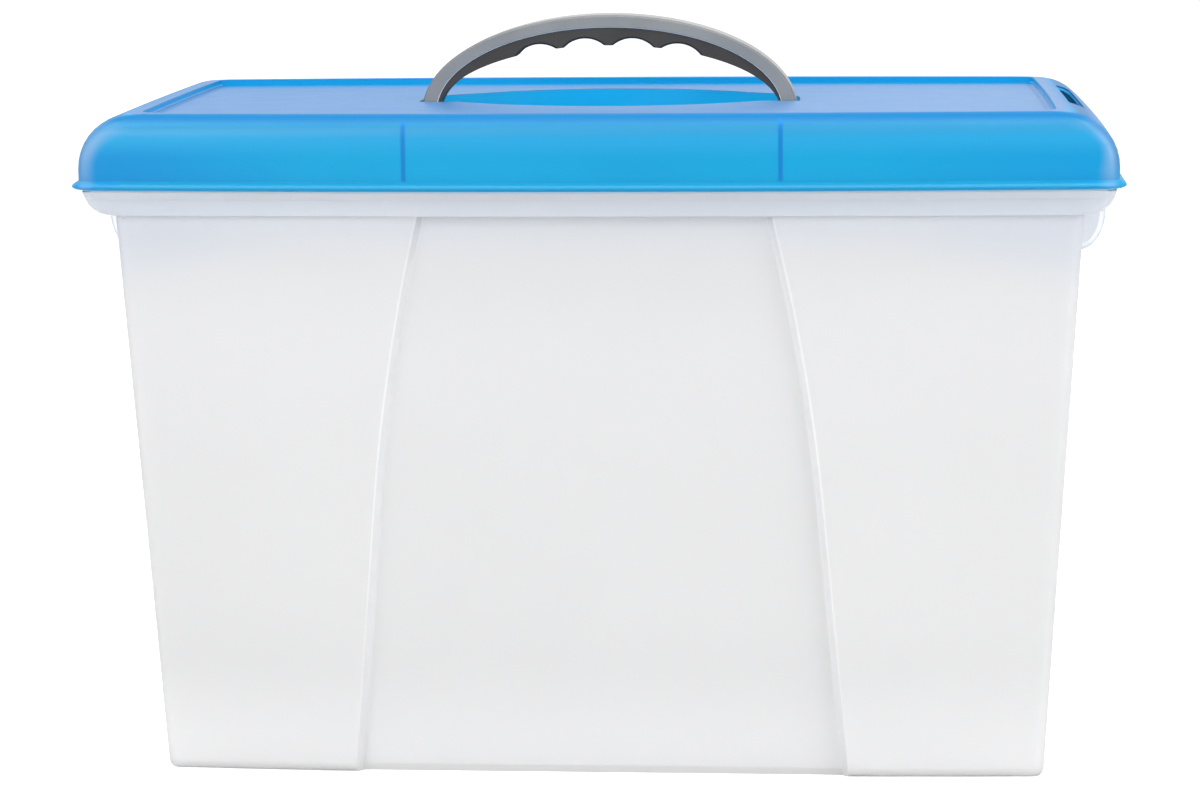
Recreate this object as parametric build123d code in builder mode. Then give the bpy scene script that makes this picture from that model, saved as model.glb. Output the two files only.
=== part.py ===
from build123d import *
import math
import os

# Portable file box: a clear tub, a lift-off lid and a folding carry handle with a soft grip.
# Frame: +Z up, +X along the long side, -Y is the front. Origin at the middle of the tub's base.
# All sizes in millimetres.

# ---------------------------------------------------------------- tub
BASE_HALF_X = 189.7          # base outline, mid-side
BASE_HALF_Y = 87.0
BASE_EDGE = 3.0              # rounding round the foot of the walls
WALL_TOP_HALF_X = 202.6      # wall outline just under the rim band
WALL_TOP_HALF_Y = 101.0
WALL_CORNER = 5.0
SIDE_BOW = 5.0               # how far the long sides bulge
END_BOW = 1.0                # how far the ends bulge
TUB_WALL = 2.2
TUB_FLOOR = 2.8
FLOOR_EDGE = 2.0             # rounding between walls and floor, inside
BAND_BOTTOM = 243.0          # rim band and end ledges start here
BAND_PROUD = 2.5
BAND_HEIGHT = 6.8
RIM_OUT_X = 11.6             # rim beyond the top of the walls
RIM_OUT_Y = 9.0
RIM_RISE = 14.2              # top of the rim above the bottom of its band
LEDGE_RUN = 9.4              # quarter-round under each end ledge, out and up
LEDGE_RISE = 10.2
FLANGE_OUT = 1.2             # narrow shelf round the rim, under the lid's lip
FLANGE_FALL = 0.4
RAIL_HEIGHT = 4.0            # upstanding end wall that file hooks ride on
RAIL_HALF_LENGTH = 78.0
RAIL_STEP = 0.3              # rail thinner than the wall it stands on, each side
LUG_HALF_LENGTH = 50.0       # grip lug under each end ledge
LUG_DEPTH = 20.5             # how far it hangs below the ledge
LUG_OUT = 11.2               # how far it stands out from the top of the wall
LUG_NOSE = 16.7              # height of its rounded nose
LUG_EDGE = 2.5
PANEL_DEPTH = 4.6            # sunk centre panel, front and back
PANEL_RUN_OUT = 2.4          # how much shallower it is at its top
PANEL_SLOPE = 2.7            # width of the panel's sloping border
PANEL_BASE_HALF = 105.9
PANEL_KNEE_HALF = 95.0
PANEL_KNEE_HEIGHT = 119.0
PANEL_TOP_HALF = 73.9

# ---------------------------------------------------------------- lid
LID_CORNER = 10.0
LID_SIDE_BOW = 8.0
LID_END_BOW = 1.0
LID_WALL = 1.8
LIP_RISE = 11.0              # lid's lower edge above the bottom of the tub's rim band
LID_HEIGHT = 31.6
LIP_PROFILE = (              # height above the lower edge, distance in from the lip's tip
    (0.0, 3.7), (0.35, 1.6), (0.9, 0.4), (1.5, 0.0), (2.3, 0.3), (3.2, 1.5), (4.0, 2.8),
)
END_SHOULDER = 23.2          # rounding from the lid's ends to its top
SIDE_SHOULDER = 9.0          # rounding from its long sides to its top
TOP_CORNER = 9.0
RIM_CLEARANCE = 0.4          # tub rim inside lid
SEAT_CLEARANCE = 0.3         # lid ribs above tub rim
STACK_CLEARANCE = 1.2        # base of another box in the sunk top
STACK_SIDE_ROOM = 8.8        # more room for it in front and behind
STACK_DEPTH = 2.9
HOOK_SLOT_CENTRE = 201.0     # slot through the right-hand end shoulder only
HOOK_SLOT_WIDTH = 6.5
HOOK_SLOT_LENGTH = 100.0
HOOK_SLOT_CORNER = 2.5
WEB_X = 77.3                 # webs from the lid's sides to the handle well
WEB_THICKNESS = 1.5
END_RIB_Y = 70.0
END_RIB_DEPTH = 12.0

# ---------------------------------------------------------------- handle
HANDLE_Y = 5.0               # plane of the upright handle
HANDLE_HALF_SPAN = 82.5
HANDLE_RISE = 42.0           # height of the arch above its springing
HANDLE_LEG = 6.8             # pivot to springing
HANDLE_WIDTH = 18.0
HANDLE_EDGE = 0.7
HANDLE_INNER_EDGE = 0.4
FRAME_FOOT = 6.5             # frame thickness at the feet and at the top of the arch
FRAME_CROWN = 5.5
GRIP_SETBACK = 0.6           # grip narrower than the frame, each side
GRIP_FOOT = 0.8              # grip thickness at the feet and at the top of the arch
GRIP_CROWN = 7.8
GRIP_EDGE = 0.8
FINGER_RADIUS = 13.0
FINGER_CENTRES = ((10.3, 18.7), (30.1, 16.3))   # out from the middle, up from the springing
PIVOT_DEPTH = 14.1           # pivots below the top of the lid
PIN_RADIUS = 3.0
PIN_LENGTH = 4.5
PIN_CLEARANCE = 0.08
PIN_END_CLEARANCE = 0.5
BEARING_WALL = 3.5           # round the pin
BEARING_CAP = 1.4            # beyond its end
WELL_HALF_X = 76.0
WELL_FRONT = 36.0            # well in front of the handle's plane
WELL_BACK = 63.0             # well behind it
WELL_EDGE = 1.0
SWING_CLEARANCE = 1.2        # folded handle inside the well, at its sides
SWING_SWEEP = 4.0            # behind the arch, for the corner that swings past
WELL_FLOOR_CLEARANCE = 1.0

# ---------------------------------------------------------------- worked out from the above
LIP_FLARE = LIP_PROFILE[-1][1]
RIM_HALF_X = WALL_TOP_HALF_X + RIM_OUT_X
RIM_HALF_Y = WALL_TOP_HALF_Y + RIM_OUT_Y
LID_HALF_X = RIM_HALF_X + RIM_CLEARANCE + LID_WALL + LIP_FLARE
LID_HALF_Y = RIM_HALF_Y + RIM_CLEARANCE + LID_WALL + LIP_FLARE
RIM_CORNER = LID_CORNER - LIP_FLARE - LID_WALL - RIM_CLEARANCE
BAND_TOP = BAND_BOTTOM + BAND_HEIGHT
LEDGE_TOP = BAND_BOTTOM + LEDGE_RISE
RAIL_TOP = BAND_BOTTOM + TUB_WALL + RAIL_HEIGHT
RIM_TOP = BAND_BOTTOM + RIM_RISE
LIP_BOTTOM = BAND_BOTTOM + LIP_RISE
LID_TOP = LIP_BOTTOM + LID_HEIGHT
PIVOT_Z = LID_TOP - PIVOT_DEPTH
SEAT = RIM_TOP + SEAT_CLEARANCE
SUNK_TOP = LID_TOP - STACK_DEPTH
HANDLE_SPRING = PIVOT_Z + HANDLE_LEG
WELL_FLOOR = PIVOT_Z - HANDLE_WIDTH / 2 - WELL_FLOOR_CLEARANCE
BED_HALF_X = HANDLE_HALF_SPAN + SWING_CLEARANCE
OVERLAP = 1.0                # how far one form runs into the next so that they join
HALF_TURN = 180


def bowed_outline(height, half_x, half_y, bow_x, bow_y, corner):
    """Level outline with four sides that bulge outwards and rounded corners."""
    x, y = half_x - bow_x, half_y - bow_y
    with BuildSketch(Plane.XY.offset(height)) as outline:
        with BuildLine():
            ThreePointArc((-x, -y), (0, -half_y), (x, -y))
            ThreePointArc((x, -y), (half_x, 0), (x, y))
            ThreePointArc((x, y), (0, half_y), (-x, y))
            ThreePointArc((-x, y), (-half_x, 0), (-x, -y))
        make_face()
        fillet(outline.vertices(), corner)
    return outline.sketch


# ================================================================ tub

def wall_outline(height, inset=0.0):
    """Tub wall at a height: it tapers from the rim band down to the base."""
    share = height / BAND_BOTTOM
    return bowed_outline(
        height,
        BASE_HALF_X + share * (WALL_TOP_HALF_X - BASE_HALF_X) - inset,
        BASE_HALF_Y + share * (WALL_TOP_HALF_Y - BASE_HALF_Y) - inset,
        END_BOW,
        SIDE_BOW,
        WALL_CORNER - inset,
    )


def foot_outlines(floor, radius, inset=0.0):
    """Wall outlines from a flat bottom, round its edge and up to the start of the straight wall."""
    outlines = []
    for angle in (0, 30, 60, 90):
        turn = math.radians(angle)
        height = floor + radius * (1 - math.cos(turn))
        outlines.append(wall_outline(height, inset + radius * (1 - math.sin(turn))))
    return outlines


def ledge_outline(angle, inset=0.0):
    """Rim outline on the ledge's quarter-round: angle 0 at its underside, 90 at its face."""
    turn = math.radians(angle)
    height = LEDGE_TOP - (LEDGE_RISE - inset) * math.cos(turn)
    reach = LEDGE_RUN - inset if inset else LEDGE_RUN + FLANGE_OUT
    half_x = RIM_HALF_X - LEDGE_RUN + reach * math.sin(turn)
    band_half_y = WALL_TOP_HALF_Y + BAND_PROUD
    flare = max(0.0, (height - BAND_TOP) / (LEDGE_TOP - BAND_TOP))
    return bowed_outline(
        height,
        half_x,
        band_half_y + flare * (RIM_HALF_Y - band_half_y) - inset,
        LID_END_BOW,
        SIDE_BOW + flare * (LID_SIDE_BOW - SIDE_BOW),
        WALL_CORNER + math.sin(turn) * (RIM_CORNER - WALL_CORNER) - inset,
    )


def rim_outline(height, inset=0.0):
    """Upright rim that the lid fits over."""
    return bowed_outline(
        height, RIM_HALF_X - inset, RIM_HALF_Y - inset, LID_END_BOW, LID_SIDE_BOW, RIM_CORNER - inset
    )


def ledge_angle(height, inset=0.0):
    """Angle on the quarter-round at a height."""
    return math.degrees(math.acos((LEDGE_TOP - height) / (LEDGE_RISE - inset)))


def spread(start, end, steps):
    return [start + (end - start) * step / steps for step in range(steps + 1)]


def panel_sections(side, grow=0.0):
    """Two outlines, outside and inside the long wall, of the wedge that sinks its centre panel."""
    lean = math.atan2(WALL_TOP_HALF_Y + PANEL_RUN_OUT - BASE_HALF_Y, BAND_BOTTOM)
    reach = BASE_HALF_Y - SIDE_BOW * (PANEL_BASE_HALF / BASE_HALF_X) ** 2
    clear = 3.0 * PANEL_DEPTH
    fall = (PANEL_BASE_HALF - PANEL_KNEE_HALF) / PANEL_KNEE_HEIGHT
    sections = []
    for depth in (-clear, PANEL_DEPTH + grow):
        face = Plane(
            origin=(0, side * (reach - depth), 0),
            x_dir=(1, 0, 0),
            z_dir=(0, -math.cos(lean), side * math.sin(lean)),
        )
        shift = grow - (depth - grow) * PANEL_SLOPE / PANEL_DEPTH
        foot_x = PANEL_BASE_HALF + fall * clear + shift
        knee_x = PANEL_KNEE_HALF + shift
        top_x = PANEL_TOP_HALF + shift
        top_z = (BAND_BOTTOM + OVERLAP) / math.cos(lean)
        with BuildSketch(face) as outline:
            with BuildLine():
                Line((foot_x, -clear), (knee_x, PANEL_KNEE_HEIGHT))
                TangentArc((knee_x, PANEL_KNEE_HEIGHT), (top_x, top_z), tangent=(-fall, 1))
                Line((top_x, top_z), (-top_x, top_z))
                TangentArc((-knee_x, PANEL_KNEE_HEIGHT), (-top_x, top_z), tangent=(fall, 1))
                Line((-knee_x, PANEL_KNEE_HEIGHT), (-foot_x, -clear))
                Line((-foot_x, -clear), (foot_x, -clear))
            make_face()
        sections.append(outline.sketch)
    return sections


def lug_profile(side, inset=0.0):
    """End view of a grip lug: a half-round nose hanging from the ledge."""
    root_x = side * (WALL_TOP_HALF_X - LEDGE_RUN)
    foot_z = BAND_BOTTOM - LUG_DEPTH + inset
    nose_z = BAND_BOTTOM - LUG_DEPTH + LUG_NOSE
    face_x = side * (WALL_TOP_HALF_X + LUG_OUT - inset)
    with BuildSketch(Plane.XZ) as profile:
        with BuildLine():
            EllipticalCenterArc(
                (side * WALL_TOP_HALF_X, nose_z),
                LUG_OUT - inset,
                LUG_NOSE - inset,
                start_angle=270 if side > 0 else 180,
                arc_size=90,
            )
            Line((face_x, nose_z), (face_x, LEDGE_TOP))
            Line((face_x, LEDGE_TOP), (root_x, LEDGE_TOP))
            Line((root_x, LEDGE_TOP), (root_x, foot_z))
            Line((root_x, foot_z), (side * WALL_TOP_HALF_X, foot_z))
        make_face()
    return profile.sketch


def lug_end_edges(part):
    """Edges round both ends of a lug, down its face and round its nose."""
    face_x = WALL_TOP_HALF_X + LUG_OUT
    ends = part.edges().filter_by(Axis.Y, reverse=True)
    return [edge for edge in ends if face_x - abs((edge @ 0.5).X) < LUG_OUT / 2]


with BuildPart() as lug_pockets:
    for side in (-1, 1):
        extrude(lug_profile(side, TUB_WALL), LUG_HALF_LENGTH - TUB_WALL, both=True)
    loft(
        sections=[wall_outline(BAND_BOTTOM - 2 * LUG_DEPTH), wall_outline(LEDGE_TOP)],
        ruled=True,
        mode=Mode.SUBTRACT,
    )

with BuildPart() as rails:
    loft(
        sections=[wall_outline(BAND_BOTTOM, RAIL_STEP), wall_outline(RAIL_TOP, RAIL_STEP)],
        ruled=True,
    )
    inner = TUB_WALL - RAIL_STEP
    loft(
        sections=[wall_outline(BAND_BOTTOM, inner), wall_outline(RAIL_TOP, inner)],
        ruled=True,
        mode=Mode.SUBTRACT,
    )
    Box(3 * WALL_TOP_HALF_X, 2 * RAIL_HALF_LENGTH, 3 * RAIL_TOP, mode=Mode.INTERSECT)

with BuildPart() as tub_hollow:
    foot = foot_outlines(TUB_FLOOR, FLOOR_EDGE, TUB_WALL)
    loft(sections=[*foot, wall_outline(LEDGE_TOP, TUB_WALL)], ruled=True)
    for side in (-1, 1):
        loft(sections=panel_sections(side, TUB_WALL), ruled=True, mode=Mode.SUBTRACT)
    ledge = [ledge_outline(angle, TUB_WALL) for angle in spread(0, ledge_angle(BAND_TOP, TUB_WALL), 4)]
    ledge.append(ledge_outline(90, TUB_WALL))
    loft(sections=[*ledge, rim_outline(RIM_TOP + OVERLAP, TUB_WALL)], ruled=True)
    add(lug_pockets.part)
    add(rails.part, mode=Mode.SUBTRACT)

with BuildPart() as tub:
    loft(sections=[*foot_outlines(0, BASE_EDGE), wall_outline(BAND_BOTTOM + OVERLAP)], ruled=True)
    for side in (-1, 1):
        loft(sections=panel_sections(side), ruled=True, mode=Mode.SUBTRACT)
    ledge = [ledge_outline(angle) for angle in spread(0, ledge_angle(BAND_TOP), 4)]
    ledge.append(ledge_outline(90))
    loft(sections=[*ledge, rim_outline(LEDGE_TOP + FLANGE_FALL), rim_outline(RIM_TOP)], ruled=True)
    for side in (-1, 1):
        with BuildPart(mode=Mode.PRIVATE) as lug:
            extrude(lug_profile(side), LUG_HALF_LENGTH, both=True)
            chamfer(lug_end_edges(lug), LUG_EDGE)
        add(lug.part)
    add(tub_hollow.part, mode=Mode.SUBTRACT)
tub.part.label = "tub"


# ================================================================ lid

def lip_outline(height, inset):
    """Lid outline near its lip, measured in from the lip's tip."""
    return bowed_outline(
        height, LID_HALF_X - inset, LID_HALF_Y - inset, LID_END_BOW, LID_SIDE_BOW, LID_CORNER - inset
    )


def shoulder_outline(angle, inset=0.0):
    """Lid outline on its rounded shoulders: angle 0 at the foot of the end shoulders, 90 on top."""
    turn = math.radians(angle)
    height = LID_TOP - END_SHOULDER + (END_SHOULDER - inset) * math.sin(turn)
    half_x = LID_HALF_X - LIP_FLARE - END_SHOULDER + (END_SHOULDER - inset) * math.cos(turn)
    climb = max(0.0, height - (LID_TOP - SIDE_SHOULDER))
    side_radius = SIDE_SHOULDER - inset
    side_run = math.sqrt(max(0.0, side_radius ** 2 - climb ** 2))
    half_y = LID_HALF_Y - LIP_FLARE - SIDE_SHOULDER + side_run
    wall_corner = LID_CORNER - LIP_FLARE - inset
    corner = wall_corner + (1 - math.cos(turn)) * (TOP_CORNER - wall_corner)
    return bowed_outline(height, half_x, half_y, LID_END_BOW, LID_SIDE_BOW, corner)


def stack_outlines(inset=0.0):
    """Sunk top of the lid, on which the base of another box stands."""
    gap = STACK_CLEARANCE + inset
    half_x = BASE_HALF_X + gap
    half_y = BASE_HALF_Y + STACK_SIDE_ROOM + gap
    return [
        bowed_outline(height - inset, half_x, half_y, END_BOW, SIDE_BOW, WALL_CORNER + gap)
        for height in (SUNK_TOP, LID_TOP + STACK_DEPTH)
    ]


def well_outline(height, grow=0.0):
    """Hand well: room for fingers all round the handle, and for the handle when it lies down."""
    half_x, back, front = WELL_HALF_X + grow, WELL_BACK + grow, WELL_FRONT + grow
    bed_x = BED_HALF_X + grow
    bed_front = HANDLE_Y - HANDLE_WIDTH / 2 - SWING_CLEARANCE - grow
    bed_spring = HANDLE_Y + HANDLE_LEG
    bed_depth = HANDLE_RISE + SWING_SWEEP + grow
    with BuildSketch(Plane.XY.offset(height)) as outline:
        with BuildLine():
            EllipticalCenterArc((0, HANDLE_Y), half_x, back, arc_size=HALF_TURN)
            ThreePointArc((half_x, HANDLE_Y), (0, HANDLE_Y - front), (-half_x, HANDLE_Y))
        make_face()
        with BuildLine():
            EllipticalCenterArc((0, bed_spring), bed_x, bed_depth, arc_size=HALF_TURN)
            Polyline(
                (bed_x, bed_spring), (bed_x, bed_front), (-bed_x, bed_front), (-bed_x, bed_spring)
            )
        make_face()
    return outline.sketch


def bearing_profile(radius):
    """Side view of a bearing, from the pin up to the top of the lid."""
    with BuildSketch(Plane.YZ) as profile:
        with Locations((HANDLE_Y, PIVOT_Z)):
            Circle(radius)
            Rectangle(2 * radius, LID_TOP - PIVOT_Z, align=(Align.CENTER, Align.MIN))
    return profile.sketch


def side_shoulder_angle(inset=0.0):
    """Angle on the end shoulders at the height where the side shoulders start."""
    return math.degrees(math.asin((END_SHOULDER - SIDE_SHOULDER) / (END_SHOULDER - inset)))


BORE_END = HANDLE_HALF_SPAN + PIN_LENGTH + PIN_END_CLEARANCE

with BuildPart() as lid_hollow:
    turn = side_shoulder_angle(LID_WALL)
    shoulder = [shoulder_outline(angle, LID_WALL) for angle in (0, turn / 2, *spread(turn, 90, 4))]
    loft(sections=[lip_outline(LIP_BOTTOM - OVERLAP, LIP_FLARE + LID_WALL), *shoulder], ruled=True)
    loft(sections=stack_outlines(LID_WALL), ruled=True, mode=Mode.SUBTRACT)
    extrude(well_outline(WELL_FLOOR - LID_WALL, LID_WALL), LID_TOP - WELL_FLOOR, mode=Mode.SUBTRACT)
    extrude(
        bearing_profile(PIN_RADIUS + BEARING_WALL), BORE_END + BEARING_CAP, both=True, mode=Mode.SUBTRACT
    )
    with Locations((-WEB_X, 0, SEAT), (WEB_X, 0, SEAT)):
        Box(
            WEB_THICKNESS,
            2 * LID_HALF_Y,
            LID_TOP - SEAT,
            align=(Align.CENTER, Align.CENTER, Align.MIN),
            mode=Mode.SUBTRACT,
        )
    for side in (-1, 1):
        rib_x = side * (RIM_HALF_X - END_RIB_DEPTH / 2)
        with Locations((rib_x, -END_RIB_Y, SEAT), (rib_x, END_RIB_Y, SEAT)):
            Box(
                END_RIB_DEPTH + 2 * OVERLAP,
                WEB_THICKNESS,
                LID_TOP - SEAT,
                align=(Align.CENTER, Align.CENTER, Align.MIN),
                mode=Mode.SUBTRACT,
            )

with BuildPart() as lid:
    lip = [lip_outline(LIP_BOTTOM + height, inset) for height, inset in LIP_PROFILE]
    turn = side_shoulder_angle()
    shoulder = [shoulder_outline(angle) for angle in (*spread(0, turn, 4), *spread(turn, 90, 6)[1:])]
    loft(sections=[*lip, *shoulder], ruled=True)
    loft(sections=stack_outlines(), ruled=True, mode=Mode.SUBTRACT)
    extrude(well_outline(WELL_FLOOR), LID_TOP - WELL_FLOOR, mode=Mode.SUBTRACT)
    add(lid_hollow.part, mode=Mode.SUBTRACT)
    with BuildSketch(Plane.YZ) as bores:
        with Locations((HANDLE_Y, PIVOT_Z)):
            Circle(PIN_RADIUS + PIN_CLEARANCE)
    extrude(amount=BORE_END, both=True, mode=Mode.SUBTRACT)
    with BuildSketch(Plane.XY.offset(LID_TOP - END_SHOULDER)) as hook_slot:
        with Locations((HOOK_SLOT_CENTRE, 0)):
            RectangleRounded(HOOK_SLOT_WIDTH, HOOK_SLOT_LENGTH, HOOK_SLOT_CORNER)
    extrude(amount=2 * END_SHOULDER, mode=Mode.SUBTRACT)
lid.part.label = "lid"


# ================================================================ handle

def arch_edges(part, half_span, rise):
    """Front and back edges along an arch of this half span and rise, its legs and its feet."""
    loop = []
    for edge in part.edges().filter_by(Axis.Y, reverse=True):
        middle = edge @ 0.5
        climb = max(0.0, middle.Z - HANDLE_SPRING) / rise
        if abs(math.hypot(middle.X / half_span, climb) - 1) < 0.01:
            loop.append(edge)
    return loop


FRAME_BACK = Plane.XZ.offset(-HANDLE_Y - HANDLE_WIDTH / 2)
GRIP_BACK = FRAME_BACK.offset(GRIP_SETBACK)
FOOT_Z = PIVOT_Z - HANDLE_WIDTH / 2
FRAME_INNER_X = HANDLE_HALF_SPAN - FRAME_FOOT
FRAME_INNER_RISE = HANDLE_RISE - FRAME_CROWN
GRIP_INNER_X = FRAME_INNER_X - GRIP_FOOT
GRIP_INNER_RISE = FRAME_INNER_RISE - GRIP_CROWN

with BuildPart() as handle_frame:
    with BuildSketch(FRAME_BACK) as frame_outline:
        with BuildLine():
            EllipticalCenterArc((0, HANDLE_SPRING), HANDLE_HALF_SPAN, HANDLE_RISE, arc_size=HALF_TURN)
            EllipticalCenterArc((0, HANDLE_SPRING), FRAME_INNER_X, FRAME_INNER_RISE, arc_size=HALF_TURN)
            for side in (-1, 1):
                Polyline(
                    (side * HANDLE_HALF_SPAN, HANDLE_SPRING),
                    (side * HANDLE_HALF_SPAN, FOOT_Z),
                    (side * FRAME_INNER_X, FOOT_Z),
                    (side * FRAME_INNER_X, HANDLE_SPRING),
                )
        make_face()
    extrude(amount=HANDLE_WIDTH)
    with BuildSketch(Plane.YZ) as side_view:
        with Locations((HANDLE_Y, PIVOT_Z)):
            Circle(HANDLE_WIDTH / 2)
            Rectangle(HANDLE_WIDTH, 2 * HANDLE_RISE, align=(Align.CENTER, Align.MIN))
    extrude(amount=HANDLE_HALF_SPAN, both=True, mode=Mode.INTERSECT)
    chamfer(arch_edges(handle_frame, HANDLE_HALF_SPAN, HANDLE_RISE), HANDLE_EDGE)
    chamfer(arch_edges(handle_frame, FRAME_INNER_X, FRAME_INNER_RISE), HANDLE_INNER_EDGE)
    with BuildSketch(Plane.YZ) as pins:
        with Locations((HANDLE_Y, PIVOT_Z)):
            Circle(PIN_RADIUS)
    extrude(amount=HANDLE_HALF_SPAN + PIN_LENGTH, both=True)
    with BuildSketch(Plane.YZ) as pin_gap:
        with Locations((HANDLE_Y, PIVOT_Z)):
            Circle(2 * PIN_RADIUS)
    extrude(amount=FRAME_INNER_X, both=True, mode=Mode.SUBTRACT)
handle_frame.part.label = "handle_frame"

with BuildPart() as handle_grip:
    with BuildSketch(GRIP_BACK) as grip_outline:
        with BuildLine():
            EllipticalCenterArc((0, HANDLE_SPRING), FRAME_INNER_X, FRAME_INNER_RISE, arc_size=HALF_TURN)
            EllipticalCenterArc((0, HANDLE_SPRING), GRIP_INNER_X, GRIP_INNER_RISE, arc_size=HALF_TURN)
            for side in (-1, 1):
                Line((side * FRAME_INNER_X, HANDLE_SPRING), (side * GRIP_INNER_X, HANDLE_SPRING))
        make_face()
        for out, up in FINGER_CENTRES:
            with Locations((-out, HANDLE_SPRING + up), (out, HANDLE_SPRING + up)):
                Circle(FINGER_RADIUS, mode=Mode.SUBTRACT)
    extrude(amount=HANDLE_WIDTH - 2 * GRIP_SETBACK)
    chamfer(handle_grip.edges().filter_by(GeomType.CIRCLE), GRIP_EDGE)
handle_grip.part.label = "handle_grip"

os.makedirs("parts", exist_ok=True)
for piece in (tub, lid, handle_frame, handle_grip):
    export_step(piece.part, f"parts/{piece.part.label}.step")
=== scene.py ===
import math

import bmesh
import bpy
from mathutils import Matrix, Vector


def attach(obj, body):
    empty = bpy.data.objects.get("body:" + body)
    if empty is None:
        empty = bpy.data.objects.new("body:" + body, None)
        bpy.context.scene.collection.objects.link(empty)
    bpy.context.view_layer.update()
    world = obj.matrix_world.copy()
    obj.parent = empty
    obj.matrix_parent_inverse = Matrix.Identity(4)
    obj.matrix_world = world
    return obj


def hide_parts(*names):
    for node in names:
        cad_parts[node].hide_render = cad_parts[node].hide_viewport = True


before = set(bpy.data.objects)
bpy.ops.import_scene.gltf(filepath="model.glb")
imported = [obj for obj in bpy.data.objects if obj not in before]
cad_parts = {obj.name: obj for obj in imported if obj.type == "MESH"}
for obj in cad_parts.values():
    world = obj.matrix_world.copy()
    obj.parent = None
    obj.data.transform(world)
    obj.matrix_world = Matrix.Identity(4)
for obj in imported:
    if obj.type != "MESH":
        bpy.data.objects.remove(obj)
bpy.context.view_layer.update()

# Lengths are in metres and colours are linear. The origin is the middle of the box's base: x runs along
# the box, y to its back and z up.
# ------------------------------------------------------------------ camera
# The view from the front, a little to the right and from just above the lid.
CAMERA_PLACE = Vector((0.1031, -1.4724, 0.3998))
CAMERA_TURN = math.radians(4.213)      # to the left
CAMERA_DIP = math.radians(9.579)       # downwards
CAMERA_ROLL = math.radians(-0.527)
CAMERA_LENS = 100.5                    # mm
SENSOR_WIDTH = 36.0                    # mm

lens = bpy.data.cameras.new("camera")
lens.sensor_width = SENSOR_WIDTH
lens.lens = CAMERA_LENS
camera = bpy.data.objects.new("camera", lens)
bpy.context.scene.collection.objects.link(camera)
camera.matrix_world = (
    Matrix.Translation(CAMERA_PLACE)
    @ Matrix.Rotation(CAMERA_TURN, 4, "Z")
    @ Matrix.Rotation(math.pi / 2 - CAMERA_DIP, 4, "X")
    @ Matrix.Rotation(CAMERA_ROLL, 4, "Z")
)
bpy.context.scene.camera = camera
bpy.context.scene.view_settings.view_transform = "Standard"


# ------------------------------------------------------------------ node helpers
CLOUD_DETAIL = 3.0
MOTTLE_DETAIL = 2.0
ROUNDING_SAMPLES = 6


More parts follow.
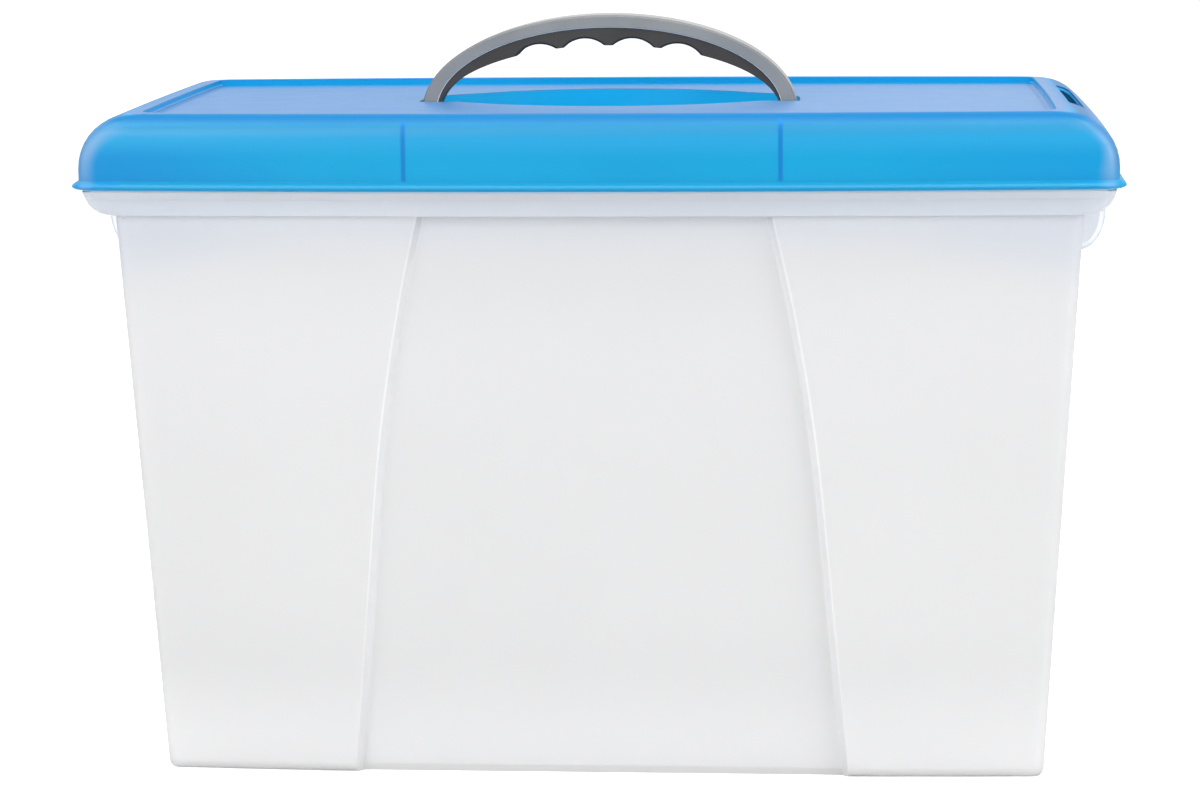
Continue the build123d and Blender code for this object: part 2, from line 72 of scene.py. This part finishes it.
class Finish:
    """A material and short ways to add nodes to it."""

    def __init__(self, name):
        self.material = bpy.data.materials.new(name)
        self.material.use_nodes = True
        self.tree = self.material.node_tree
        self.shader = self.tree.nodes["Principled BSDF"]
        self.place = self.node("ShaderNodeTexCoord").outputs["Object"]

    def node(self, kind, **settings):
        made = self.tree.nodes.new(kind)
        for key, value in settings.items():
            setattr(made, key, value)
        return made

    def feed(self, value, socket):
        """Put a number or a colour on a socket, or link another socket to it."""
        if isinstance(value, tuple):
            socket.default_value = (*value, 1.0)
        elif isinstance(value, (int, float)):
            socket.default_value = value
        else:
            self.tree.links.new(value, socket)

    def set(self, **values):
        for key, value in values.items():
            self.feed(value, self.shader.inputs[key.replace("_", " ")])

    def axes(self):
        made = self.node("ShaderNodeSeparateXYZ")
        self.feed(self.place, made.inputs["Vector"])
        return made.outputs["X"], made.outputs["Y"], made.outputs["Z"]

    def math(self, operation, *values):
        made = self.node("ShaderNodeMath", operation=operation)
        for socket, value in zip(made.inputs, values):
            self.feed(value, socket)
        return made.outputs["Value"]

    def absolute(self, value):
        return self.math("ABSOLUTE", value)

    def plus(self, first, second):
        return self.math("ADD", first, second)

    def minus(self, first, second):
        return self.math("SUBTRACT", first, second)

    def larger(self, first, second):
        return self.math("MAXIMUM", first, second)

    def times(self, first, *others):
        for other in others:
            first = self.math("MULTIPLY", first, other)
        return first

    def inverse(self, value):
        return self.minus(1.0, value)

    def beyond(self, value, limit):
        """How far value is past the limit, and 0 before it."""
        return self.larger(self.minus(value, limit), 0.0)

    def noise(self, scale, detail):
        made = self.node("ShaderNodeTexNoise")
        self.feed(self.place, made.inputs["Vector"])
        self.feed(scale, made.inputs["Scale"])
        self.feed(detail, made.inputs["Detail"])
        return made.outputs["Fac"]

    def between(self, value, low, high, start=0.0, end=1.0):
        """A number that goes evenly from low to high as value goes from start to end."""
        made = self.node("ShaderNodeMapRange")
        self.feed(value, made.inputs["Value"])
        self.feed(start, made.inputs["From Min"])
        self.feed(end, made.inputs["From Max"])
        self.feed(low, made.inputs["To Min"])
        self.feed(high, made.inputs["To Max"])
        return made.outputs["Result"]

    def ease(self, value, start, end):
        """A number that goes softly from 0 to 1 as value goes from start to end, up or down."""
        made = self.node("ShaderNodeMapRange", interpolation_type="SMOOTHSTEP")
        self.feed(value, made.inputs["Value"])
        self.feed(start, made.inputs["From Min"])
        self.feed(end, made.inputs["From Max"])
        return made.outputs["Result"]

    def blend(self, value, low, high):
        """A colour that goes from low to high as value goes from 0 to 1."""
        made = self.node("ShaderNodeMix", data_type="RGBA")
        # the colour sockets share their names with the number sockets, so they are picked by place
        factor, first, second = made.inputs[0], made.inputs[6], made.inputs[7]
        self.feed(value, factor)
        self.feed(low, first)
        self.feed(high, second)
        return made.outputs[2]

    def cloud(self, scale, start, end):
        """Soft patches: 0 in places, 1 in others, with a slow change between them."""
        return self.ease(self.noise(scale, CLOUD_DETAIL), start, end)

    def mottle(self, scale, low, high):
        """A number that wanders between low and high over the surface."""
        return self.between(self.noise(scale, MOTTLE_DETAIL), low, high)

    def grain(self, scale, detail, depth, strength, edge):
        """A fine relief, on edges that are rounded over by the given radius."""
        made = self.node("ShaderNodeBump")
        self.feed(depth, made.inputs["Distance"])
        self.feed(strength, made.inputs["Strength"])
        self.feed(self.noise(scale, detail), made.inputs["Height"])
        rounding = self.node("ShaderNodeBevel", samples=ROUNDING_SAMPLES)
        self.feed(edge, rounding.inputs["Radius"])
        self.feed(rounding.outputs["Normal"], made.inputs["Normal"])
        self.feed(made.outputs["Normal"], self.shader.inputs["Normal"])


# ------------------------------------------------------------------ tub
PLASTIC_IOR = 1.49
MOULD_GRAIN = {"detail": 1.0, "depth": 0.00002}        # on the tub, the lid and the handle's frame
TUB_CLOUD = {"scale": 7.0, "start": 0.35, "end": 0.65}
TUB_ROUGHNESS = {"scale": 60.0, "low": 0.36, "high": 0.46}
TUB_GRAIN = {"scale": 1400.0, "strength": 0.3, "edge": 0.0005}
TUB_CLEAR = 0.45                       # share of the light that goes through the walls
LUG_CLEAR = 0.05                       # and through the front ends of the lugs
# painted light: the upper walls, in shade under the lid's overhang, are lightened
TUB_HIGH_PAINTED_LIGHT = (0.120, 0.205)
# painted light: the foot, which faces down into shade, is lightened
TUB_FOOT_PAINTED_LIGHT = (0.055, 0.004)

# Each sunk panel's border runs straight up to its knee, then curves in.
PANEL_KNEE_X = 0.0950
PANEL_KNEE_Z = 0.119
PANEL_LEAN = 0.0916
PANEL_CURVE = 0.634
BORDER_OUT = (-0.0006, 0.0002)         # outer and inner side of the sloping border
BORDER_IN = (0.0036, 0.0026)
LONG_WALL = (0.070, 0.076)             # the border lies on the long walls only, below the rim band
BELOW_BAND = (0.2432, 0.2425)

LUG_STARTS = (0.2030, 0.2045)          # the lugs stand out past the end walls
LUG_TOP = (0.2440, 0.2425)
LUG_FRONT = (-0.0476, -0.0492)         # their front ends
RIM_LID_LIGHT_FADE = (0.218, 0.252)              # painted blue light and shade from the lid: the walls turn bluer towards the rim
RIM_LIFT_X = 0.12                      # from here out the painted blue zone starts lower
RIM_LIFT_RATE = 0.2

CLEAR_BODY = (0.764, 0.765, 0.768)
CLEAR_CLOUD = (0.780, 0.781, 0.784)
CLEAR_HIGH_PAINTED_LIGHT = (0.790, 0.790, 0.796)
CLEAR_FOOT_PAINTED_LIGHT = (0.880, 0.880, 0.884)
# painted highlight on each panel's sloping border
CLEAR_BORDER_HIGHLIGHT = (0.900, 0.900, 0.906)
# painted light on the lugs' front ends, which sit in the tub's shade
CLEAR_LUG_PAINTED_LIGHT = (0.940, 0.945, 0.955)
CLEAR_RIM_LID_LIGHT = (0.715, 0.745, 0.80)
CLEAR_RIM_CLOUD_LID_LIGHT = (0.735, 0.76, 0.81)


def frosted_clear():
    """Milky clear plastic of the tub: painted blue light and shade from the lid near the rim, a painted
    highlight on each panel's border, and painted light on the lugs, the upper walls and the foot.
    """
    f = Finish("frosted_clear")
    x, y, z = f.axes()
    along, across = f.absolute(x), f.absolute(y)
    cloud = f.cloud(**TUB_CLOUD)
    body = f.blend(cloud, CLEAR_BODY, CLEAR_CLOUD)
    # painted light on the upper walls, against the shade under the lid
    body = f.blend(f.ease(z, *TUB_HIGH_PAINTED_LIGHT), body, CLEAR_HIGH_PAINTED_LIGHT)
    # painted light at the foot, against its shade
    body = f.blend(f.ease(z, *TUB_FOOT_PAINTED_LIGHT), body, CLEAR_FOOT_PAINTED_LIGHT)
    above_knee = f.beyond(z, PANEL_KNEE_Z)
    border = f.minus(PANEL_KNEE_X, f.times(f.minus(z, PANEL_KNEE_Z), PANEL_LEAN))
    border = f.minus(border, f.times(above_knee, above_knee, PANEL_CURVE))
    inside = f.minus(border, along)
    # a painted highlight along the sloping border of each panel
    border_highlight = f.times(f.ease(inside, *BORDER_OUT), f.ease(inside, *BORDER_IN))
    border_highlight = f.times(border_highlight, f.ease(across, *LONG_WALL), f.ease(z, *BELOW_BAND))
    body = f.blend(border_highlight, body, CLEAR_BORDER_HIGHLIGHT)
    # painted light on the lugs' front ends, against their shade
    lug = f.times(f.ease(along, *LUG_STARTS), f.ease(z, *LUG_TOP), f.ease(y, *LUG_FRONT))
    body = f.blend(lug, body, CLEAR_LUG_PAINTED_LIGHT)
    # painted blue light and shade cast by the lid, near the rim
    rim = f.blend(cloud, CLEAR_RIM_LID_LIGHT, CLEAR_RIM_CLOUD_LID_LIGHT)
    height = f.plus(z, f.times(f.beyond(along, RIM_LIFT_X), RIM_LIFT_RATE))
    f.set(Base_Color=f.blend(f.ease(height, *RIM_LID_LIGHT_FADE), body, rim))
    f.set(Roughness=f.mottle(**TUB_ROUGHNESS), IOR=PLASTIC_IOR)
    f.set(Transmission_Weight=f.between(lug, TUB_CLEAR, LUG_CLEAR))
    f.grain(**TUB_GRAIN, **MOULD_GRAIN)
    return f.material


# ------------------------------------------------------------------ lid
LID_TOP = 0.2856
SUNK_TOP = 0.2827                      # floor of the sunk top
SUNK_HALF_X = 0.1909                   # its outline, mid-side, and how its sides bow
SUNK_HALF_Y = 0.0970
SUNK_SIDE_RATE = 0.005 / SUNK_HALF_X ** 2
SUNK_END_RATE = 0.001 / SUNK_HALF_Y ** 2
TOP_EDGE = 0.1032                      # where the top meets the long shoulders, mid-side
TOP_FADE = 0.0006
SIDE_BOW_RATE = 0.008 / 0.2166 ** 2
SHOULDER_X = 0.1932                    # axis of the end shoulders
SHOULDER_Z = 0.2624
WEB_X = 0.0773                         # webs inside the long walls
SKIM = 0.0001                          # a flat face is met within these two distances of its height
SKIN = 0.0004

LID_CLOUD = {"scale": 9.0, "start": 0.35, "end": 0.65}
LID_ROUGHNESS = {"scale": 80.0, "low": 0.30, "high": 0.38}
FLAT_ROUGHER = 0.08                    # how much rougher the flat faces on top are
LID_GRAIN = {"scale": 1600.0, "strength": 0.3, "edge": 0.0005}
SHINE = 0.12                           # an even level, for where the changing one isn't carried over
WALL_SHINE = 0.06
FLAT_SHINE = 0.22
LID_CLEAR = 0.34                       # share of the light that goes through the walls and the top
SHOULDER_CLEAR = 0.05                  # through the shoulders
HOLLOW_CLEAR = 0.9                     # through what shows inside the slot

# The walls, from the lip up, with a painted sheen and painted shade, and a painted highlight in the turn of
# each corner.
RIGHT_END = (0.105, 0.205)
LEFT_END = (-0.105, -0.205)
WALL_SHEEN_RISE = (0.2670, 0.2760)
SHOULDER_SHADE_RISE = (0.2750, 0.2805)
CREST_RISE = (0.2798, 0.2838)
TURN_ACROSS = (0.090, 0.103)
TURN_ALONG = (0.190, 0.204)
MIDDLE_BAND = (-0.1, 0.1)              # the left and right ends differ a little in painted shade and highlight, and change over here
EDGE_SHADE_REACH = (0.0196, 0.0226)          # painted shade along the silhouette, measured from the end shoulder's axis
EDGE_SHADE_RISE = (0.256, 0.268)
EDGE_SHADE_ALONG = (0.196, 0.206)
EDGE_SHIFT_LEFT = 0.0010
EDGE_SHIFT_RIGHT = 0.0012
CORNER_HIGHLIGHT_STARTS = (0.0137, 0.0197)
CORNER_HIGHLIGHT_ENDS = (0.0234, 0.0198)
CORNER_HIGHLIGHT_SHIFT = 0.0007
CORNER_HIGHLIGHT_TWIST = {"low": 0.0010, "high": -0.0025, "start": 0.0, "end": 0.0100}     # at the right-hand end
CORNER_HIGHLIGHT_FOOT = {"low": 0.45, "high": 0.80, "start": 0.259, "end": 0.270}
CORNER_HIGHLIGHT_HEAD = {"low": 1.0, "high": 0.36, "start": 0.2738, "end": 0.280}
WEB_LINE = (0.0015, 0.0004)            # to either side of the web
WEB_ACROSS = (0.100, 0.103)
WEB_FOOT = (0.2575, 0.2590)
WEB_HEAD = (0.2845, 0.281)
WEB_STRENGTH = 0.85
LIP_RISE = (0.2586, 0.2576)
LIP_AT_CORNERS = 0.3                   # the lip's painted shade fades there
HEM_SHADE_RISE = (0.2555, 0.2549)
UNDERSIDE = (0.2546, 0.2542)

# The top: the sunk floor with its margin and step in painted shade, and what shows through the slot in
# painted light.
TOP_ENDS = (0.2000, 0.1925)
END_SHOULDER_ALONG = (0.1905, 0.1925)
END_SHOULDER_RISE = (0.268, 0.283)
BACK_EDGE = (0.086, 0.090)
TOP_SHEEN_ALONG = (-0.02, 0.16)
MARGIN_BACK = (SUNK_HALF_Y - 0.0120, SUNK_HALF_Y - 0.0010)
STEP_IN = (SUNK_HALF_X - 0.0039, SUNK_HALF_X - 0.0031)
STEP_OUT = (SUNK_HALF_X - 0.0016, SUNK_HALF_X - 0.0024)
STEP_SHADE_STRENGTH = 0.5
ROOT_FOOT = (SUNK_TOP + 0.0001, SUNK_TOP + 0.0003)     # a painted highlight line at the foot of the sunk top's ends
ROOT_HEAD = (SUNK_TOP + 0.0012, SUNK_TOP + 0.0008)
ROOT_END = (SUNK_HALF_X - 0.0015, SUNK_HALF_X - 0.0010)
SUNK_WALL_RISE = (SUNK_TOP - 0.0002, SUNK_TOP + 0.0003)
WELL_SHADING_RISE = (0.2640, 0.2745)
SLOT_ALONG = (0.1935, 0.1945)
SLOT_ACROSS = (0.075, 0.070)
SLOT_SKIN = (0.0226, 0.0220)           # from the end shoulder's axis: the cut edge with a painted highlight, then the hollow in painted light
SLOT_HOLLOW = (0.0207, 0.0203)

DEEP_BLUE = (0.001, 0.333, 0.612)
DEEP_BLUE_CLOUD = (0.001, 0.355, 0.638)
DEEP_BLUE_RIGHT_SHADED = (0.001, 0.314, 0.630)
DEEP_BLUE_LEFT_SHADED = (0.001, 0.270, 0.605)
WALL_SHEEN_BLUE = (0.016, 0.358, 0.665)
SHOULDER_SHADE_BLUE = (0.032, 0.302, 0.555)
EDGE_SHADE_BLUE = (0.050, 0.235, 0.500)
CORNER_HIGHLIGHT_BLUE = (0.250, 0.420, 0.660)
CREST_SHADE_BLUE = (0.001, 0.142, 0.350)
WEB_SINK_AND_SHADE_BLUE = (0.001, 0.18, 0.56)
LIP_SHADE_BLUE = (0.002, 0.305, 0.555)
HEM_SHADE_BLUE = (0.001, 0.270, 0.560)
UNDERSIDE_LIGHT_BLUE = (0.010, 0.560, 0.950)
TOP_SHEEN_BLUE_LEFT = (0.070, 0.220, 0.465)
TOP_SHEEN_BLUE_RIGHT = (0.115, 0.255, 0.490)
STEP_SHADE_BLUE = (0.001, 0.150, 0.420)
MARGIN_SHADE_BLUE = (0.003, 0.320, 0.640)
BACK_SHADE_BLUE = (0.002, 0.210, 0.560)
ROOT_HIGHLIGHT_BLUE = (0.160, 0.520, 0.940)
SUNK_WALL_BLUE = (0.003, 0.400, 0.780)
WELL_SHADE_BLUE = (0.002, 0.290, 0.620)
WELL_LIGHT_BLUE = (0.014, 0.600, 1.0)
SLOT_EDGE_HIGHLIGHT_BLUE = (0.050, 0.480, 1.0)
SLOT_HOLLOW_LIGHT_BLUE = (0.250, 0.900, 1.0)


def wall_blue(f, x, z, along, up, reach, turned):
    """Colour of the lid's walls: a painted sheen towards the top, painted shade at the ends, on the
    shoulder and along the silhouette, and a painted highlight in the corners.
    """
    cloud = f.cloud(**LID_CLOUD)
    wall = f.blend(cloud, DEEP_BLUE, DEEP_BLUE_CLOUD)
    # painted shade: the ends deeper blue, the left one more
    wall = f.blend(f.ease(x, *RIGHT_END), wall, DEEP_BLUE_RIGHT_SHADED)
    wall = f.blend(f.ease(x, *LEFT_END), wall, DEEP_BLUE_LEFT_SHADED)
    # a painted sheen: the walls paler towards the top, where an overhead light reflects
    wall = f.blend(f.ease(z, *WALL_SHEEN_RISE), wall, WALL_SHEEN_BLUE)
    # painted shade on the shoulder below the crest
    wall = f.blend(f.ease(z, *SHOULDER_SHADE_RISE), wall, SHOULDER_SHADE_BLUE)
    right = f.between(x, 0.0, 1.0, *MIDDLE_BAND)
    inward = f.plus(reach, f.between(x, EDGE_SHIFT_LEFT, EDGE_SHIFT_RIGHT, *MIDDLE_BAND))
    # painted shade along the silhouette of the end shoulders
    edge = f.times(f.ease(inward, *EDGE_SHADE_REACH), f.ease(z, *EDGE_SHADE_RISE), f.ease(along, *EDGE_SHADE_ALONG))
    wall = f.blend(edge, wall, EDGE_SHADE_BLUE)
    # a painted highlight in the turn of each corner
    shift = f.plus(f.times(right, f.between(up, **CORNER_HIGHLIGHT_TWIST)), CORNER_HIGHLIGHT_SHIFT)
    corner_highlight = f.times(f.ease(f.plus(reach, shift), *CORNER_HIGHLIGHT_STARTS), f.ease(inward, *CORNER_HIGHLIGHT_ENDS), turned)
    corner_highlight = f.times(corner_highlight, f.between(z, **CORNER_HIGHLIGHT_FOOT), f.between(z, **CORNER_HIGHLIGHT_HEAD))
    return f.blend(corner_highlight, wall, CORNER_HIGHLIGHT_BLUE)


def blue_clear():
    """Blue see-through plastic of the lid.

    The flat faces on top are glossier than the walls of the sunk top and the hand well, and painted paler
    as a reflection of the white surroundings.
    """
    f = Finish("blue_clear")
    x, y, z = f.axes()
    along, across = f.absolute(x), f.absolute(y)
    out, up = f.beyond(along, SHOULDER_X), f.beyond(z, SHOULDER_Z)
    reach = f.math("SQRT", f.plus(f.times(out, out), f.times(up, up)))
    turned = f.times(f.ease(across, *TURN_ACROSS), f.ease(along, *TURN_ALONG))
    wall = wall_blue(f, x, z, along, up, reach, turned)
    crest = f.ease(z, *CREST_RISE)
    # painted shade: the crest of the lid's edge darkened
    wall = f.blend(crest, wall, CREST_SHADE_BLUE)

    # where each face of the top lies
    bowed = f.plus(across, f.times(x, x, SIDE_BOW_RATE))
    middle = f.ease(bowed, TOP_EDGE + TOP_FADE, TOP_EDGE - TOP_FADE)
    top = f.times(middle, f.ease(along, *TOP_ENDS))
    sunk = f.times(f.ease(z, SUNK_TOP - SKIN, SUNK_TOP - SKIM), f.ease(z, SUNK_TOP + SKIN, SUNK_TOP + SKIM))
    rim = f.ease(z, LID_TOP - SKIN, LID_TOP - SKIM)
    behind = f.ease(y, *BACK_EDGE)
    to_back = f.plus(y, f.times(x, x, SUNK_SIDE_RATE))
    to_end = f.plus(along, f.times(y, y, SUNK_END_RATE))
    margin = f.times(sunk, f.ease(to_back, *MARGIN_BACK))
    step = f.times(sunk, f.ease(to_end, *STEP_IN), f.ease(to_end, *STEP_OUT))
    root_highlight = f.times(f.ease(z, *ROOT_FOOT), f.ease(z, *ROOT_HEAD), f.ease(to_end, *ROOT_END))

    # colours of the top, from the well up, with painted shade and light in the well, a painted reflection
    # on the flats, painted shade at the margin, the step and the back, and a painted highlight line at the
    # ends' foot
    # a painted reflection makes the flats pale, a little more on the right
    top_sheen = f.blend(f.ease(x, *TOP_SHEEN_ALONG), TOP_SHEEN_BLUE_LEFT, TOP_SHEEN_BLUE_RIGHT)
    # painted shade: a dark line along the step near the sunk top's ends
    top_sheen = f.blend(f.times(step, STEP_SHADE_STRENGTH), top_sheen, STEP_SHADE_BLUE)
    # painted shade low in the hand well and painted light higher up
    upper = f.blend(f.ease(z, *WELL_SHADING_RISE), WELL_SHADE_BLUE, WELL_LIGHT_BLUE)
    upper = f.blend(f.ease(z, *SUNK_WALL_RISE), upper, SUNK_WALL_BLUE)
    # painted shade: the sunk floor along the back wall given a deeper blue
    upper = f.blend(f.larger(sunk, rim), upper, f.blend(margin, top_sheen, MARGIN_SHADE_BLUE))
    # painted shade on the rim's flat at the back, without the front flats' painted reflection
    upper = f.blend(f.times(rim, behind), upper, BACK_SHADE_BLUE)
    # painted highlight line at the foot of the sunk top's ends
    upper = f.blend(root_highlight, upper, ROOT_HIGHLIGHT_BLUE)
    tint = f.blend(top, wall, upper)

    # webs seen through the long walls as dark lines, partly sink marks and partly painted shade; painted
    # light in the slot; painted shade on the lip and its hem; painted light on the underside
    web = f.ease(f.absolute(f.minus(along, WEB_X)), *WEB_LINE)
    web = f.times(web, f.ease(across, *WEB_ACROSS), f.ease(z, *WEB_FOOT), f.ease(z, *WEB_HEAD))
    # dark lines over the webs: sink marks and painted shade
    tint = f.blend(f.times(web, WEB_STRENGTH), tint, WEB_SINK_AND_SHADE_BLUE)
    slot = f.times(f.ease(reach, *SLOT_SKIN), f.ease(along, *SLOT_ALONG), f.ease(across, *SLOT_ACROSS))
    hollow = f.times(slot, f.ease(reach, *SLOT_HOLLOW))
    # painted highlight on the slot's cut edge and painted light in the hollow behind it
    tint = f.blend(slot, tint, f.blend(hollow, SLOT_EDGE_HIGHLIGHT_BLUE, SLOT_HOLLOW_LIGHT_BLUE))
    lip = f.times(f.ease(z, *LIP_RISE), f.between(turned, 1.0, LIP_AT_CORNERS))
    # painted shade on the lip, against the light on its upper face
    tint = f.blend(lip, tint, LIP_SHADE_BLUE)
    # painted shade along the lip's lower edge
    tint = f.blend(f.ease(z, *HEM_SHADE_RISE), tint, HEM_SHADE_BLUE)
    # painted light: the underside and inner faces brightened as if lit through the plastic
    f.set(Base_Color=f.blend(f.ease(z, *UNDERSIDE), tint, UNDERSIDE_LIGHT_BLUE))

    end_shoulder = f.times(f.ease(along, *END_SHOULDER_ALONG), f.ease(z, *END_SHOULDER_RISE))
    flat = f.larger(f.minus(sunk, margin), f.times(rim, f.inverse(behind)))
    gloss = f.times(middle, f.larger(flat, end_shoulder))
    f.set(Specular_IOR_Level=SHINE)
    f.set(Specular_IOR_Level=f.between(gloss, WALL_SHINE, FLAT_SHINE), IOR=PLASTIC_IOR)
    f.set(Roughness=f.plus(f.mottle(**LID_ROUGHNESS), f.times(gloss, FLAT_ROUGHER)))
    shoulders = f.times(crest, f.inverse(f.times(middle, f.inverse(f.times(rim, behind)))))
    through = f.times(f.between(shoulders, LID_CLEAR, SHOULDER_CLEAR), f.inverse(slot))
    f.set(Transmission_Weight=f.larger(through, f.times(hollow, HOLLOW_CLEAR)))
    f.grain(**LID_GRAIN, **MOULD_GRAIN)
    return f.material


# ------------------------------------------------------------------ handle
HANDLE_Y = 0.005                       # middle of the handle's width
HANDLE_HALF_SPAN = 0.0825
HANDLE_SPRING = 0.2783
HANDLE_RISE = 0.042
FRAME_CHAMFER = (0.0081, 0.0084)       # from the middle: the edge with painted highlight or shade, then the flat side
FRAME_SIDE = (0.00898, 0.00885)
FRAME_OUTSIDE = (0.88, 0.92)           # 1 on the arch's outer curve

FRAME_CLOUD = {"scale": 40.0, "start": 0.3, "end": 0.7}
FRAME_ROUGHNESS = {"scale": 120.0, "low": 0.34, "high": 0.42}
FRAME_GRAIN = {"scale": 1800.0, "strength": 0.25, "edge": 0.0003}
FRAME_SHINE = 0.15
GRIP_CLOUD = {"scale": 50.0, "start": 0.3, "end": 0.7}
GRIP_ROUGHNESS = {"scale": 150.0, "low": 0.55, "high": 0.68}
GRIP_GRAIN = {"scale": 1500.0, "detail": 2.0, "depth": 0.00004, "strength": 0.4, "edge": 0.0003}
GRIP_SHINE = 0.35

SATIN_GREY = (0.222, 0.226, 0.228)
SATIN_GREY_CLOUD = (0.250, 0.253, 0.254)
INNER_EDGE_HIGHLIGHT_GREY = (0.80, 0.80, 0.80)
OUTER_EDGE_SHADE_GREY = (0.150, 0.152, 0.154)
CHARCOAL = (0.034, 0.030, 0.028)
CHARCOAL_CLOUD = (0.044, 0.040, 0.037)


def grey_satin():
    """Grey satin plastic of the handle's frame: a painted highlight along its inner edges, painted shade
    along the outer ones.
    """
    f = Finish("grey_satin")
    x, y, z = f.axes()
    tone = f.blend(f.cloud(**FRAME_CLOUD), SATIN_GREY, SATIN_GREY_CLOUD)
    side = f.absolute(f.minus(y, HANDLE_Y))
    edge = f.times(f.ease(side, *FRAME_CHAMFER), f.ease(side, *FRAME_SIDE))
    run = f.math("DIVIDE", x, HANDLE_HALF_SPAN)
    climb = f.math("DIVIDE", f.beyond(z, HANDLE_SPRING), HANDLE_RISE)
    outside = f.ease(f.plus(f.times(run, run), f.times(climb, climb)), *FRAME_OUTSIDE)
    # painted highlight on the frame's inner edges, painted shade on the outer ones
    f.set(Base_Color=f.blend(edge, tone, f.blend(outside, INNER_EDGE_HIGHLIGHT_GREY, OUTER_EDGE_SHADE_GREY)))
    f.set(Roughness=f.mottle(**FRAME_ROUGHNESS), Specular_IOR_Level=FRAME_SHINE)
    f.grain(**FRAME_GRAIN, **MOULD_GRAIN)
    return f.material


def charcoal_soft():
    """Soft charcoal rubber of the grip."""
    f = Finish("charcoal_soft")
    f.set(Base_Color=f.blend(f.cloud(**GRIP_CLOUD), CHARCOAL, CHARCOAL_CLOUD))
    f.set(Roughness=f.mottle(**GRIP_ROUGHNESS), Specular_IOR_Level=GRIP_SHINE)
    f.grain(**GRIP_GRAIN)
    return f.material


# ------------------------------------------------------------------ pieces
SMOOTH_ANGLE = math.radians(34.0)
SAME_POINT = 1e-6
FACE_AREA_WEIGHT = 90                  # large faces keep their own direction


def smooth_piece(node, body, finish):
    """The piece with its facets joined and shaded as one smooth skin."""
    joined = bmesh.new()
    joined.from_mesh(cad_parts[node].data)
    bmesh.ops.remove_doubles(joined, verts=joined.verts, dist=SAME_POINT)
    joined.verts.index_update()
    points = [vertex.co[:] for vertex in joined.verts]
    faces = [[vertex.index for vertex in face.verts] for face in joined.faces]
    joined.free()
    mesh = bpy.data.meshes.new(node + "_skin")
    mesh.from_pydata(points, [], faces)
    mesh.shade_smooth()
    mesh.set_sharp_from_angle(angle=SMOOTH_ANGLE)
    piece = bpy.data.objects.new(node + "_skin", mesh)
    bpy.context.scene.collection.objects.link(piece)
    even = piece.modifiers.new("even_shading", "WEIGHTED_NORMAL")
    even.keep_sharp = True
    even.weight = FACE_AREA_WEIGHT
    evaluated = piece.evaluated_get(bpy.context.evaluated_depsgraph_get())
    piece.data = bpy.data.meshes.new_from_object(evaluated)
    piece.modifiers.clear()
    piece.data.materials.clear()
    piece.data.materials.append(finish)
    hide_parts(node)
    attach(piece, body)


smooth_piece("tub", "tub", frosted_clear())
smooth_piece("lid", "lid", blue_clear())
smooth_piece("handle_frame", "handle", grey_satin())
smooth_piece("handle_grip", "handle", charcoal_soft())

# ------------------------------------------------------------------ floor and light
FLOOR_HALF = 14.0
FLOOR_COLOUR = (0.80, 0.80, 0.80)
FLOOR_ROUGHNESS = 0.9
FLOOR_LIFT = 0.60                      # whitens the floor to match the backdrop and leaves its shadow
WHITE = (1.0, 1.0, 1.0)
AMBIENT = 0.6                          # the backdrop's light on the box
BACKDROP = 1.0                         # the backdrop as seen directly, mirrored or through plastic


def floor():
    """A white sheet under the box that takes its shadow."""
    outline = [(-FLOOR_HALF, -FLOOR_HALF, 0), (FLOOR_HALF, -FLOOR_HALF, 0)]
    outline += [(FLOOR_HALF, FLOOR_HALF, 0), (-FLOOR_HALF, FLOOR_HALF, 0)]
    mesh = bpy.data.meshes.new("floor")
    mesh.from_pydata(outline, [], [(0, 1, 2, 3)])
    sheet = bpy.data.objects.new("floor", mesh)
    bpy.context.scene.collection.objects.link(sheet)
    f = Finish("floor_white")
    seen = f.node("ShaderNodeLightPath").outputs["Is Camera Ray"]
    f.set(Base_Color=FLOOR_COLOUR, Roughness=FLOOR_ROUGHNESS, Specular_IOR_Level=0.0)
    f.set(Emission_Color=WHITE, Emission_Strength=f.between(seen, 0.0, FLOOR_LIFT))
    mesh.materials.append(f.material)


def lamp(name, place, target, size, power):
    """A soft rectangular light, turned towards target."""
    light = bpy.data.lights.new(name, "AREA")
    light.shape = "RECTANGLE"
    light.size, light.size_y = size
    light.energy = power
    holder = bpy.data.objects.new(name, light)
    bpy.context.scene.collection.objects.link(holder)
    holder.location = place
    aim = Vector(target) - Vector(place)
    holder.rotation_euler = aim.to_track_quat("-Z", "Y").to_euler()


def backdrop():
    """A white world that lights the box more gently than it looks."""
    world = bpy.data.worlds.new("studio")
    bpy.context.scene.world = world
    world.use_nodes = True
    nodes, links = world.node_tree.nodes, world.node_tree.links
    path = nodes.new("ShaderNodeLightPath")
    seen = path.outputs["Is Camera Ray"]
    for way in ("Is Glossy Ray", "Is Transmission Ray"):
        either = nodes.new("ShaderNodeMath")
        either.operation = "MAXIMUM"
        links.new(seen, either.inputs[0])
        links.new(path.outputs[way], either.inputs[1])
        seen = either.outputs[0]
    strength = nodes.new("ShaderNodeMapRange")
    strength.inputs["To Min"].default_value = AMBIENT
    strength.inputs["To Max"].default_value = BACKDROP
    links.new(seen, strength.inputs["Value"])
    links.new(strength.outputs["Result"], nodes["Background"].inputs["Strength"])
    nodes["Background"].inputs["Color"].default_value = (*WHITE, 1.0)


floor()
lamp("top_softbox", place=(0.0, -0.2, 2.2), target=(0, 0, 0.1), size=(2.4, 1.6), power=60.0)
lamp("front_softbox", place=(-1.2, -2.0, 1.2), target=(0, 0, 0.15), size=(1.4, 1.4), power=30.0)
lamp("side_softbox", place=(1.9, -0.8, 1.0), target=(0, 0, 0.15), size=(1.2, 1.4), power=22.0)
backdrop()
